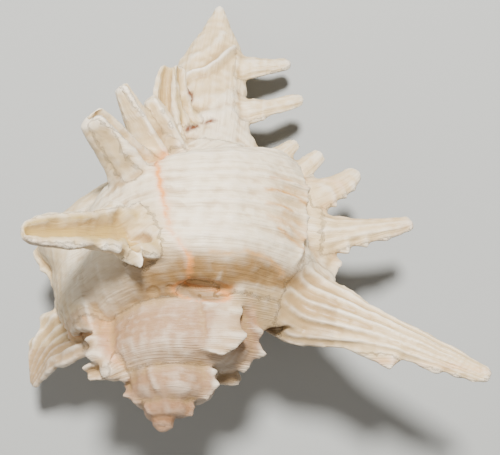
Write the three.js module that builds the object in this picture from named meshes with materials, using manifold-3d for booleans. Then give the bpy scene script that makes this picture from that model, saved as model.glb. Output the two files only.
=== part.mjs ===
// A whitened branched murex shell, lying on its underside as it comes to rest.
// Everything is in millimetres. The shell is drawn about its own coiling axis first
// (x across, y from the apex towards the tip of the canal, z out of the back), and the
// finished solid is then tilted into its resting pose with +Z up.
import * as THREE from 'three';
import { mergeVertices } from 'three/addons/utils/BufferGeometryUtils.js';
import Module from 'manifold-3d';

// ---- driving dimensions ---------------------------------------------------------
const SHELL_LENGTH = 195;         // apex to the tip of the siphonal canal
const RADIAL_GROWTH = 1.75;       // how much wider each whorl is than the one before
const AXIAL_GROWTH = 2.03;        // how much further along the axis each whorl sits
const WHORL_COUNT = 4;            // whorls drawn, counted back from the lip
const LIP_ANGLE = 118;            // where growth stopped, degrees round the axis
const REST_PITCH = 26.4;          // the canal end points this far down
const REST_YAW = 6;               // and the canal is turned this far to the right
const APEX_HEIGHT = 88.6;          // height of the apex over the table
const CORE_RADIUS = 4;            // solid pillar that closes the middle of the coil
const PROTOCONCH_RADIUS = 3.6;    // the first, rounded turn at the apex
const SECTION_STEP = 12;          // degrees between drawn sections of the last whorl
const SPIRE_STEP = 20;            // degrees between drawn sections of the older whorls

// Outline of one whorl where the last varix stands: distance out from the axis and
// distance along it. Older whorls are the same outline, shrunk by the growth ratios.
const OUTLINE = [
  [14, 42], [30, 51], [36, 55], [44, 60], [50, 68], [53, 80], [54, 94],
  [52.5, 108], [47, 117], [35, 125], [23, 134], [15, 146], [9, 160],
];

// Outline of the hollow inside the last whorl, in the same two directions.
const HOLLOW = [
  [15, 80], [26, 67], [38, 66], [46, 72], [48, 84], [48.5, 97],
  [46, 108], [38, 116], [25, 121], [15, 118],
];
const HOLLOW_BACK_ANGLE = -200;   // how far back into the coil the hollow reaches

// Varices (old, thickened lips): angle round the axis, how far each one swells out,
// and how many small points it carries when it is on the spire.
const VARICES = [
  { angle: 88, swell: 0.17, points: 0 },
  { angle: -24, swell: 0.10, points: 0 },
  { angle: -118, swell: 0.24, points: 0 },
  { angle: -300, swell: 0.13, points: 4 },
  { angle: -428, swell: 0.28, points: 4 },
  { angle: -545, swell: 0.12, points: 3 },
  { angle: -662, swell: 0.12, points: 3 },
  { angle: -770, swell: 0.16, points: 3 },
  { angle: -890, swell: 0.12, points: 0 },
  { angle: -1010, swell: 0.14, points: 0 },
];
const SWELL_ENDS_AT = 105;        // past here along the outline a varix draws in

// The flattened siphonal canal: place along the axis, middle, half width, half depth.
const CANAL = [
  { along: 84, middle: 4, wide: 7, deep: 5 },
  { along: 112, middle: 4, wide: 16, deep: 12 },
  { along: 128, middle: 3, wide: 18, deep: 14 },
  { along: 146, middle: 3, wide: 15.5, deep: 10.5 },
  { along: 162, middle: 1, wide: 13.5, deep: 8 },
  { along: 175, middle: 1.5, wide: 9.5, deep: 6 },
  { along: 186, middle: 0.5, wide: 5, deep: 4.5 },
  { along: SHELL_LENGTH, middle: 0, wide: 2, deep: 3.6 },
];

// Hollow spines (fronds). from and to are [x, along, z]; bow bends the middle of the
// spine; wide is its width at the root, halfway and at the tip; facing is the angle
// round the axis that the open trough looks towards.
const FRONDS = [
  // last varix, from the shoulder to the canal
  { name: 'shoulder', from: [38, 61, 2], to: [118, 30, 12], bow: [0, 0, 3],
    wide: [40, 19, 8], facing: 178 },
  { name: 'second', from: [48, 86, 0], to: [90, 97, 0], bow: [0, -3, 2],
    wide: [28, 12, 5], facing: 178 },
  { name: 'third', from: [42, 101, 0], to: [67, 118, 0], bow: [1, -2, 1],
    wide: [18, 11, 5], facing: 178 },
  { name: 'fourth', from: [33, 110, 0], to: [51, 125, 0], bow: [1, -1, 0],
    wide: [12, 7, 4], facing: 178 },
  { name: 'fifth', from: [26, 116, 0], to: [40, 130, 0], bow: [1, -1, 0],
    wide: [10, 6, 4], facing: 178 },
  { name: 'canal low', from: [9, 140, 0], to: [41, 150, 1], bow: [-1, -3, 2],
    wide: [14, 7, 5], facing: 178 },
  { name: 'canal high', from: [7, 164, 0], to: [34, 169, 1], bow: [0, -2, 1],
    wide: [15, 7, 5], facing: 178 },
  // the varix before it, on the back
  { name: 'back shoulder', from: [-11, 58, 34], to: [-46, 40, 72], bow: [-4, 1, 3],
    wide: [28, 20, 9], facing: 50 },
  { name: 'back second', from: [-13, 82, 32], to: [-36, 93, 62], bow: [-2, -2, 2],
    wide: [24, 17, 9], facing: 40 },
  { name: 'back third', from: [-12, 94, 28], to: [-29, 116, 50], bow: [-1, -1, 2],
    wide: [20, 15, 6], facing: 35 },
  { name: 'back fourth', from: [-7, 104, 20], to: [-19, 124, 38], bow: [-1, 0, 2],
    wide: [17, 13, 7], facing: 30 },
  { name: 'back canal', from: [-6, 118, 12], to: [-14, 143, 22], bow: [-2, 0, 2],
    wide: [20, 17, 9], facing: 25 },
  // the one before that, standing out on the left
  { name: 'left shoulder', from: [-20, 42, -10], to: [-61, 32, -52], bow: [-5, 2, 3],
    wide: [30, 21, 10], facing: -25 },
  { name: 'left second', from: [-24, 60, -10], to: [-62, 74, -16], bow: [-1, -4, 1],
    wide: [26, 15, 6], facing: -25 },
  { name: 'left third', from: [-24, 80, -10], to: [-48, 97, -14], bow: [-1, -2, 1],
    wide: [20, 12, 5], facing: -25 },
  // its lower fronds, underneath; the longest is one of the feet
  { name: 'under foot', from: [-16, 54, -20], to: [-29, 68, -70], bow: [-4, -3, -4],
    wide: [20, 13, 6], facing: -60 },
  { name: 'under third', from: [-10, 66, -18], to: [-20, 84, -46], bow: [-1, -2, -2],
    wide: [13, 9, 5], facing: -60 },
  { name: 'under fourth', from: [-6, 78, -12], to: [-14, 100, -30], bow: [0, -1, -1],
    wide: [12, 7, 4], facing: -60 },
  // short fronds standing on the lip itself, over the opening
  { name: 'lip high', from: [38, 68, -16], to: [50, 62, -40], bow: [3, -1, 0],
    wide: [14, 9, 5], facing: 208 },
  { name: 'lip foot', from: [46, 86, -18], to: [54, 84, -64], bow: [5, 1, 0],
    wide: [18, 12, 7], facing: 208 },
  { name: 'lip third', from: [44, 102, -16], to: [51, 109, -42], bow: [3, 1, 0],
    wide: [13, 8, 4], facing: 208 },
  { name: 'lip low', from: [34, 112, -14], to: [40, 124, -32], bow: [2, 1, 0],
    wide: [11, 7, 4], facing: 208 },
  // a stray point low on the spire
  { name: 'spire point', from: [12, 30, -10], to: [27, 28, -20], bow: [0, 0, 0],
    wide: [10, 6, 3], facing: 150 },
];

// ---- solid modelling helpers ----------------------------------------------------
const wasm = await Module();
wasm.setup();

const radians = (degrees) => degrees * Math.PI / 180;

function toSolid(geometry) {
  const plain = geometry.clone();
  plain.deleteAttribute('normal');
  plain.deleteAttribute('uv');
  const merged = mergeVertices(plain, 1e-4);
  return new wasm.Manifold(new wasm.Mesh({
    numProp: 3,
    vertProperties: new Float32Array(merged.attributes.position.array),
    triVerts: new Uint32Array(merged.index.array),
  }));
}

function enclosedVolume(points, triangles) {
  let sum = 0;
  const cross = new THREE.Vector3();
  for (const [a, b, c] of triangles) {
    cross.crossVectors(points[b], points[c]);
    sum += points[a].dot(cross) / 6;
  }
  return sum;
}

// The flat outline cut into triangles that all run the same way round as the outline.
function capTriangles(flat) {
  const way = Math.sign(THREE.ShapeUtils.area(flat));
  return THREE.ShapeUtils.triangulateShape(flat, []).map(([a, b, c]) => {
    const own = Math.sign(THREE.ShapeUtils.area([flat[a], flat[b], flat[c]]));
    return own === way ? [a, b, c] : [c, b, a];
  });
}

// Skin a row of equal, closed rings, and close both ends. flat is the same outline in
// two dimensions, and is what the end caps are cut from.
function skin(rings, flat) {
  const size = rings[0].length;
  const points = rings.flat();
  const triangles = [];
  for (let i = 0; i + 1 < rings.length; i += 1) {
    for (let j = 0; j < size; j += 1) {
      const next = (j + 1) % size;
      const here = i * size;
      const ahead = here + size;
      triangles.push([here + j, here + next, ahead + next]);
      triangles.push([here + j, ahead + next, ahead + j]);
    }
  }
  const last = (rings.length - 1) * size;
  for (const [a, b, c] of capTriangles(flat)) {
    triangles.push([c, b, a]);
    triangles.push([last + a, last + b, last + c]);
  }
  if (enclosedVolume(points, triangles) < 0) {
    triangles.forEach((triangle) => triangle.reverse());
  }
  const geometry = new THREE.BufferGeometry();
  const xyz = points.flatMap((p) => [p.x, p.y, p.z]);
  geometry.setAttribute('position', new THREE.Float32BufferAttribute(xyz, 3));
  geometry.setIndex(triangles.flat());
  return toSolid(geometry);
}

// ---- the coil -------------------------------------------------------------------
// How far the shell swells at this angle: a varix rises slowly and ends in a step.
function swellAt(angle) {
  let swell = 0;
  for (const varix of VARICES) {
    const before = varix.angle - angle;
    if (before >= 0 && before < 30) {
      swell = varix.swell * (1 - before / 30) ** 1.5;
    }
    if (before < 0 && before > -10) {
      swell = varix.swell * (1 + before / 10);
    }
  }
  return swell;
}

// A point of an outline (out, along) carried round to this angle of the coil.
function onCoil(out, along, angle, swell) {
  const turns = (angle - 90) / 360;
  const reach = THREE.MathUtils.clamp((SWELL_ENDS_AT - along) / 25, -1, 1);
  const radius = out * RADIAL_GROWTH ** turns * (1 + swell * reach);
  const y = along * AXIAL_GROWTH ** turns;
  const a = radians(angle);
  return new THREE.Vector3(radius * Math.sin(a), y, radius * Math.cos(a));
}

function coilSection(outline, angle, swell) {
  return outline.map(([out, along]) => onCoil(out, along, angle, swell));
}

function flatOutline(outline) {
  return outline.map(([out, along]) => new THREE.Vector2(out, along));
}

// One turn of the shell, filled right in to the axis.
function makeWhorl(fromAngle, toAngle, step) {
  const first = OUTLINE[0];
  const last = OUTLINE[OUTLINE.length - 1];
  const outline = [[1, first[1] - 2], ...OUTLINE, [1, last[1] + 2]];
  const count = Math.round((toAngle - fromAngle) / step);
  const rings = [];
  for (let i = 0; i <= count; i += 1) {
    const angle = fromAngle + (toAngle - fromAngle) * i / count;
    rings.push(coilSection(outline, angle, swellAt(angle)));
  }
  return skin(rings, flatOutline(outline));
}

function makeCoil() {
  let coil = makeWhorl(LIP_ANGLE - 350, LIP_ANGLE, SECTION_STEP);
  for (let whorl = 1; whorl < WHORL_COUNT; whorl += 1) {
    const end = LIP_ANGLE - 350 * whorl + 10;
    coil = coil.add(makeWhorl(end - 360, end, SPIRE_STEP));
  }
  return coil;
}

// The pillar inside the coil, and the rounded first turn on top of it.
function makeCore() {
  const pillar = new THREE.CylinderGeometry(CORE_RADIUS, 0.8, SHELL_LENGTH * 0.75, 12, 1);
  pillar.translate(0, SHELL_LENGTH * 0.375 + 2, 0);
  const tip = new THREE.IcosahedronGeometry(PROTOCONCH_RADIUS, 1);
  tip.translate(0, PROTOCONCH_RADIUS, 0);
  return toSolid(pillar).add(toSolid(tip));
}

// ---- the canal ------------------------------------------------------------------
function makeCanal() {
  const sides = 12;
  const rings = CANAL.map(({ along, middle, wide, deep }) => {
    const ring = [];
    for (let i = 0; i < sides; i += 1) {
      const a = 2 * Math.PI * i / sides;
      ring.push(new THREE.Vector3(middle + wide * Math.cos(a), along, deep * Math.sin(a)));
    }
    return ring;
  });
  return skin(rings, rings[0].map((p) => new THREE.Vector2(p.x, p.z)));
}

// ---- fronds ---------------------------------------------------------------------
// The outline of a frond across its length: a gutter, open on the side it faces.
// Widths run from -0.5 to 0.5 across, and depth is measured away from the opening.
const GUTTER = [
  [-0.5, 0], [-0.42, -0.22], [-0.2, -0.38], [0.2, -0.38], [0.42, -0.22], [0.5, 0],
  [0.36, 0.02], [0.2, -0.14], [-0.2, -0.14], [-0.36, 0.02],
];

function makeFrond({ from, to, bow, wide, facing }) {
  const start = new THREE.Vector3(...from);
  const end = new THREE.Vector3(...to);
  const middle = start.clone().lerp(end, 0.5).add(new THREE.Vector3(...bow));
  const path = new THREE.CatmullRomCurve3([start, middle, end]);
  const a = radians(facing);
  const opening = new THREE.Vector3(Math.sin(a), 0, Math.cos(a));
  const steps = [0, 0.25, 0.5, 0.75, 0.93, 1];
  const rings = steps.map((t) => {
    const centre = path.getPoint(t);
    const along = path.getTangent(t);
    const across = new THREE.Vector3().crossVectors(along, opening).normalize();
    const out = new THREE.Vector3().crossVectors(across, along).normalize();
    return frondRing(centre, across, out, frondWidth(wide, t), t);
  });
  return skin(rings, GUTTER.map(([w, d]) => new THREE.Vector2(w, d)));
}

function frondWidth([root, half, tip], t) {
  const width = t < 0.5
    ? root + (half - root) * (1 - (1 - 2 * t) ** 2)
    : half + (tip - half) * (2 * t - 1);
  return t === 1 ? width * 0.6 : width;
}

function frondRing(centre, across, out, width, t) {
  const depth = width * (t < 0.3 ? 0.8 : 1);
  return GUTTER.map(([w, d]) => centre.clone()
    .addScaledVector(across, w * width)
    .addScaledVector(out, (d + 0.15) * depth));
}

// Small blunt points along a varix of the spire.
function makeVarixPoints({ angle, swell, points }) {
  const places = [[47, 62], [52, 72], [55, 86], [54, 100]].slice(0, points);
  const size = RADIAL_GROWTH ** ((angle - 90) / 360);
  return places.map(([out, along]) => {
    const root = onCoil(out - 8, along, angle - 6, swell);
    const tip = onCoil(out + 9, along - 3, angle + 2, swell);
    const lean = tip.clone().sub(root);
    const spike = new THREE.ConeGeometry(8 * size, lean.length(), 6, 1);
    spike.applyQuaternion(new THREE.Quaternion().setFromUnitVectors(
      new THREE.Vector3(0, 1, 0), lean.clone().normalize()));
    const middle = root.clone().lerp(tip, 0.5);
    spike.translate(middle.x, middle.y, middle.z);
    return toSolid(spike);
  });
}

// ---- the opening ----------------------------------------------------------------
// The hollow narrows back into the coil and comes out through the face of the lip.
function makeHollow() {
  const from = HOLLOW_BACK_ANGLE;
  const to = LIP_ANGLE + 4;
  const count = Math.round((to - from) / 14);
  const rings = [];
  for (let i = 0; i <= count; i += 1) {
    const t = i / count;
    const outline = shrinkOutline(HOLLOW, 1 - 0.75 * (1 - t) ** 3);
    rings.push(coilSection(outline, from + (to - from) * t, 0));
  }
  return skin(rings, flatOutline(HOLLOW));
}

function shrinkOutline(outline, scale) {
  const out = outline.reduce((sum, p) => sum + p[0], 0) / outline.length;
  const along = outline.reduce((sum, p) => sum + p[1], 0) / outline.length;
  return outline.map(([r, y]) => [out + (r - out) * scale, along + (y - along) * scale]);
}

// The open gutter that runs from the opening down the underside of the canal.
function makeCanalGutter() {
  const stations = [[118, 9, -12, 5], [140, 5, -9.5, 3], [165, 2, -7.5, 2], [184, 1, -5, 1.2]];
  const rings = stations.map(([along, x, z, half]) => [
    new THREE.Vector3(x - half, along, z - 6),
    new THREE.Vector3(x + half, along, z - 6),
    new THREE.Vector3(x + half, along, z + half * 1.6),
    new THREE.Vector3(x - half, along, z + half * 1.6),
  ]);
  return skin(rings, rings[0].map((p) => new THREE.Vector2(p.x, p.z)));
}

// ---- assembly -------------------------------------------------------------------
function makeShell() {
  let shell = makeCoil().add(makeCore()).add(makeCanal());
  for (const frond of FRONDS) {
    shell = shell.add(makeFrond(frond));
  }
  for (const varix of VARICES) {
    for (const point of makeVarixPoints(varix)) {
      shell = shell.add(point);
    }
  }
  return shell.subtract(makeHollow()).subtract(makeCanalGutter());
}

// Tilt the solid into its resting pose, and wear the feet flat where they touch.
function restOnTable(solid) {
  const mesh = solid.getMesh();
  const geometry = new THREE.BufferGeometry();
  const xyz = Array.from(mesh.vertProperties);
  geometry.setAttribute('position', new THREE.Float32BufferAttribute(xyz, 3));
  geometry.setIndex(Array.from(mesh.triVerts));
  geometry.rotateX(-radians(REST_PITCH));
  geometry.rotateZ(-radians(REST_YAW));
  geometry.translate(0, 0, APEX_HEIGHT);
  const table = new THREE.BoxGeometry(600, 600, 100);
  table.translate(0, 0, -50);
  return toSolid(geometry).subtract(toSolid(table));
}

function toGeometry(solid) {
  const mesh = solid.getMesh();
  const geometry = new THREE.BufferGeometry();
  const xyz = Array.from(mesh.vertProperties);
  geometry.setAttribute('position', new THREE.Float32BufferAttribute(xyz, 3));
  geometry.setIndex(Array.from(mesh.triVerts));
  geometry.computeBoundingBox();
  const box = geometry.boundingBox;
  const middle = box.getCenter(new THREE.Vector3());
  geometry.translate(-middle.x, -middle.y, -box.min.z);
  geometry.computeVertexNormals();
  return geometry;
}

const material = new THREE.MeshStandardMaterial({ color: 0xe6dcd0, roughness: 0.6 });
const shell = new THREE.Mesh(toGeometry(restOnTable(makeShell())), material);
shell.name = 'shell';

const group = new THREE.Group();
group.name = 'murex';
group.add(shell);

export default group;
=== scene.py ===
# %% [markdown]
# # A whitened branched murex shell
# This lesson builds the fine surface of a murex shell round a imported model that
# already has its size, its resting pose and its feet. The shell is one grown thing, so
# it becomes one mesh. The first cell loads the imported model, and keeps its box.

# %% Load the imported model
import math
from functools import partial

import bpy
import numpy as np
from mathutils import Matrix, Vector


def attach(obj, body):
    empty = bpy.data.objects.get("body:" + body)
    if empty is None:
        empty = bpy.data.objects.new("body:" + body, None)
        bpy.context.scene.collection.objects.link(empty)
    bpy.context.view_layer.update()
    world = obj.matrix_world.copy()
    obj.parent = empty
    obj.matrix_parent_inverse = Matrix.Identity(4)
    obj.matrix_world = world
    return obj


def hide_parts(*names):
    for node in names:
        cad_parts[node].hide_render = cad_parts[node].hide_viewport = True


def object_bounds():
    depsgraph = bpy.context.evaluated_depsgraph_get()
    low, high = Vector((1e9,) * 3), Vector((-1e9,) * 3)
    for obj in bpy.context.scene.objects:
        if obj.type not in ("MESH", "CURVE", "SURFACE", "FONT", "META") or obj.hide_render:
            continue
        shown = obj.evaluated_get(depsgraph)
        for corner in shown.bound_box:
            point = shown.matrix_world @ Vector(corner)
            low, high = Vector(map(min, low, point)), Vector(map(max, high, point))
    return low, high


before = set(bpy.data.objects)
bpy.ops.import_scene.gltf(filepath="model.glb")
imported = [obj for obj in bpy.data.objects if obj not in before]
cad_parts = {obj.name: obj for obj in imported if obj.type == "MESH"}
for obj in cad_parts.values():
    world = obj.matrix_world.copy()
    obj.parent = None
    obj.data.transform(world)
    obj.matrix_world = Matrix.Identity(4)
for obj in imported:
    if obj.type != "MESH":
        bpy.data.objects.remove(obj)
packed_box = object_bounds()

print("packed nodes:", sorted(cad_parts))

# %% [markdown]
# ## Where the shell lies
# A shell grows round an axis. It is easiest to draw it about that axis, with y running
# from the apex to the tip of the canal and z out of the back, and to tilt the result
# into the resting pose at the very end. Lengths are in millimetres until then.

# %% Resting pose
MM = 0.001
REST_PITCH = math.radians(26.4)
REST_YAW = math.radians(6.0)

TILT = np.array(Matrix.Rotation(-REST_YAW, 3, "Z") @ Matrix.Rotation(-REST_PITCH, 3, "X"))


def packed_points(name):
    """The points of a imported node, in millimetres."""
    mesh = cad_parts[name].data
    flat = np.empty(len(mesh.vertices) * 3)
    mesh.vertices.foreach_get("co", flat)
    return flat.reshape(-1, 3) / MM


def find_apex(points):
    """The apex is the point furthest back along the tilted axis."""
    axis = TILT[:, 1]
    return points[np.argmin(points @ axis)]


APEX = find_apex(packed_points("shell"))


def to_table(points):
    """From the shell's own axes to its place on the table."""
    return points @ TILT.T + APEX


print("apex at", np.round(APEX, 1))

# %% [markdown]
# ## The law of growth
# A shell keeps one outline and makes it larger as it turns. Each whorl here is 1.75
# times as wide as the one before and sits 2.03 times as far along the axis. Angles are
# counted round the axis from the middle of the back, and the outline is drawn at the
# size it has at 90 degrees, where the last varix stands.

# %% Growth
WIDER = 1.75
FURTHER = 2.03
LIP_ANGLE = 118.0

OUTLINE = [
    (14, 42), (28, 50), (36, 53.2), (44, 57.5), (50, 63.5), (53, 71), (54.2, 82),
    (54.5, 94), (54, 104), (52, 110.5), (47, 114.5), (38, 117.2), (29, 120.5), (21, 128),
    (15, 142), (9, 160),
]


def smooth_line(points, count):
    """A smooth curve through the points, as evenly spaced samples (Catmull-Rom)."""
    p = np.array(points, float)
    p = np.vstack([2 * p[0] - p[1], p, 2 * p[-1] - p[-2]])
    fine = []
    for i in range(1, len(p) - 2):
        for t in np.linspace(0, 1, 24, endpoint=False):
            a, b, c, d = p[i - 1], p[i], p[i + 1], p[i + 2]
            fine.append(0.5 * (2 * b + (c - a) * t + (2 * a - 5 * b + 4 * c - d) * t**2
                               + (3 * b - a - 3 * c + d) * t**3))
    fine = np.array(fine + [p[-2]])
    step = np.linalg.norm(np.diff(fine, axis=0), axis=1)
    far = np.concatenate([[0], np.cumsum(step)])
    at = np.linspace(0, far[-1], count)
    return np.stack([np.interp(at, far, fine[:, k]) for k in range(p.shape[1])], 1)


def unit(value):
    """A value held between 0 and 1."""
    return np.clip(value, 0, 1)


def soft(value, centre, width):
    """A bell-shaped bump of height 1 round a centre."""
    return np.exp(-((value - centre) / width) ** 2)


FINE_OUTLINE = smooth_line(OUTLINE, 110)


def girth(angle):
    return WIDER ** ((np.asarray(angle, float) - 90) / 360)


def reach(angle):
    return FURTHER ** ((np.asarray(angle, float) - 90) / 360)


print("outline samples:", len(FINE_OUTLINE))

# %% [markdown]
# ## Varices
# A murex stops growing now and then, thickens its lip, and grows fronds on it. Such an
# old lip is a varix. The surface rises towards a varix and drops behind its edge.

# %% Varices
VARICES = [
    # angle at the shoulder, swell, degrees of rise, degrees back per mm along,
    # place along where the swell ends, and over how many mm it fades
    (88, 0.22, 32, 0.15, 77, 9), (60, 0.035, 12, 0.10, 112, 12),
    (-11, 0.06, 26, 0.30, 112, 16), (-118, 0.24, 40, 0.30, 112, 20),
    (-302, 0.08, 24, 0.97, 112, 20), (-428, 0.14, 26, 0.30, 112, 20),
    (-545, 0.10, 24, 0.30, 112, 20), (-662, 0.10, 22, 0.30, 112, 20),
    (-740, 0.05, 20, 0.30, 112, 20), (-800, 0.10, 20, 0.30, 112, 20),
    (-890, 0.10, 20, 0.30, 112, 20), (-1010, 0.12, 20, 0.30, 112, 20),
    (-1075, 0.06, 20, 0.30, 112, 20), (-1130, 0.12, 20, 0.30, 112, 20),
    # The body draws in a little before the last varix.
    (88, -0.10, 60, 0.15, 130, 5),
]
HOOKED = VARICES[2]  # The low end of this one hooks forward beside the suture.


def lip_line(varix, along):
    """The angle at which a varix stands, which slants back along the shell."""
    hook = 7.0 * unit((72 - along) / 12) * (varix is HOOKED)
    return varix[0] + (90 - along) * varix[3] + hook


def swell(angle, along):
    """How much further out the surface stands, as a share of its radius."""
    angle, along = np.asarray(angle, float), np.asarray(along, float)
    total = np.zeros(np.broadcast(angle, along).shape)
    for varix in VARICES:
        _, high, rise, _, ends, fade = varix
        before = lip_line(varix, np.clip(along, 50, 112)) - angle
        up = unit(1 - before / rise) ** 2 * (before >= 0)
        down = unit(1 + before / 4.0) ** 1.5 * (before < 0)
        total = total + high * (up + down) * np.clip((ends - along) / fade, -1, 1)
    return total


def on_coil(out, along, angle):
    """A point of the outline carried round to an angle of the coil."""
    out, along, angle = np.broadcast_arrays(*map(np.asarray, (out, along, angle)))
    radius = out * girth(angle) * (1 + swell(angle, along))
    a = np.radians(angle)
    return np.stack([radius * np.sin(a), along * reach(angle), radius * np.cos(a)], -1)


print("varices:", len(VARICES))

# %% [markdown]
# ## Skinning rings
# Every solid here is a row of equal rings, like the hoops of a basket, skinned and
# closed at both ends. A grid primitive would have to be bent and sewn up by hand to
# follow a spiral, so the points are computed and handed to Blender as a mesh.

# %% A helper that skins rings
def skin(name, rings):
    """A closed mesh object from an array of rings (rings, points, 3)."""
    count, size = rings.shape[:2]
    middles = rings[[0, -1]].mean(1)
    points = np.vstack([rings.reshape(-1, 3), middles])
    i, j = np.meshgrid(np.arange(count - 1), np.arange(size), indexing="ij")
    here, following = i * size + j, i * size + (j + 1) % size
    quads = np.stack([here, following, following + size, here + size], -1).reshape(-1, 4)
    faces = quads.tolist()
    last = (count - 1) * size
    for k in range(size):
        after = (k + 1) % size
        faces.append([count * size, after, k])
        faces.append([count * size + 1, last + k, last + after])
    mesh = bpy.data.meshes.new(name)
    mesh.from_pydata(points.tolist(), [], faces)
    piece = bpy.data.objects.new(name, mesh)
    bpy.context.collection.objects.link(piece)
    return piece


def select_only(*pieces):
    """Select these pieces and no others, and make the first one active."""
    bpy.ops.object.select_all(action="DESELECT")
    for piece in pieces:
        piece.select_set(True)
    bpy.context.view_layer.objects.active = pieces[0]


def face_outwards(piece):
    """Recalculate the normals of a closed mesh so that they point out."""
    select_only(piece)
    bpy.ops.object.mode_set(mode="EDIT")
    bpy.ops.mesh.select_all(action="SELECT")
    bpy.ops.mesh.normals_make_consistent(inside=False)
    bpy.ops.object.mode_set(mode="OBJECT")


solids = []
print("ring skinner ready")

# %% [markdown]
# ## The coil
# The whorls overlap a little, and each is filled in to the axis. The overlaps vanish
# later, when everything is fused into one skin.

# %% Whorls
WHORLS = 4
WHORL_TURN, WHORL_STEP, OVERLAP = 356, 350, 10  # degrees


def make_whorl(name, start, end, step):
    angles = np.linspace(start, end, int((end - start) / step) + 1)
    out = np.concatenate([[1.0], FINE_OUTLINE[:, 0], [1.0]])
    along = np.concatenate([[40.0], FINE_OUTLINE[:, 1], [162.0]])
    rings = on_coil(out[None, :], along[None, :], angles[:, None])
    return skin(name, rings)


for number in range(WHORLS):
    end = LIP_ANGLE - WHORL_STEP * number + (OVERLAP if number else 0)
    step = 2.5 if number < 2 else 4
    solids.append(make_whorl(f"whorl_{number}", end - WHORL_TURN, end, step))

print("whorls:", len(solids))

# %% [markdown]
# The first turn of the shell is a small round knob, and a pillar runs down inside the
# coil from it. Both are primitives, and both disappear into the whorls.

# %% Pillar and first turn
def settle():
    """Write the place and turn of the new primitive into its mesh."""
    bpy.ops.object.transform_apply(location=True, rotation=True, scale=True)
    return bpy.context.object


def add_pillar():
    bpy.ops.mesh.primitive_cone_add(vertices=24, radius1=4.0, radius2=0.8, depth=146,
                                    rotation=(-math.pi / 2, 0, 0), location=(0, 75, 0))
    return settle()


def add_first_turn():
    bpy.ops.mesh.primitive_ico_sphere_add(subdivisions=4, radius=3.4, location=(0.3, 3.7, 0))
    return settle()


solids += [add_pillar(), add_first_turn()]
print("knob and pillar added")

# %% [markdown]
# ## The siphonal canal
# The canal is a flattened, tapering blade. A ridge runs slantwise over its back, and
# its edges are wavy, because it too was built up lip by lip.

# %% Canal
CANAL = [
    # along, middle, half width, half depth
    (86, 4, 7, 5), (108, 5, 17, 11), (118, 5, 20, 12.5), (126, 3.5, 19, 12),
    (134, 2, 17, 11), (145, 1, 15.8, 10), (157, 0.5, 15.5, 8.5), (164, 0, 14.5, 7.4),
    (170, 0.8, 12.8, 6.6), (178, 0.8, 9.2, 5.4), (186, 0.6, 5.8, 4.4),
    (192, 0.3, 3.2, 3.6), (195, 0, 1.4, 2.4),
]


def make_canal():
    line = smooth_line(CANAL, 120)
    turn = np.linspace(0, 2 * np.pi, 72, endpoint=False)
    along = line[:, 0:1]
    left = 1 + 0.03 * np.sin(along * 0.55) + 0.03 * np.sin(along * 1.3 + 1)
    right = 1 + 0.02 * np.sin(along * 0.7 + 2)
    across = np.cos(turn)[None, :]
    x = line[:, 1:2] + line[:, 2:3] * np.where(across < 0, left, right) * across
    z = line[:, 3:4] * np.sin(turn)[None, :]
    return skin("canal", np.stack([x, along + 0 * x, z], -1))


solids.append(make_canal())
print("canal added")

# %% [markdown]
# ## Fronds
# A frond is a hollow spine: a gutter, open on the side the shell was growing towards,
# with ribs along its back and a frilled rim. One function makes them all. Each is given
# its root inside the shell, its tip, how its middle is bowed, its widths from root to
# tip, the side it opens towards, how deep the gutter is, how frilled its rim is, and
# how many ribs it has and how high (below 0 they stand inside the gutter).

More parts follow.
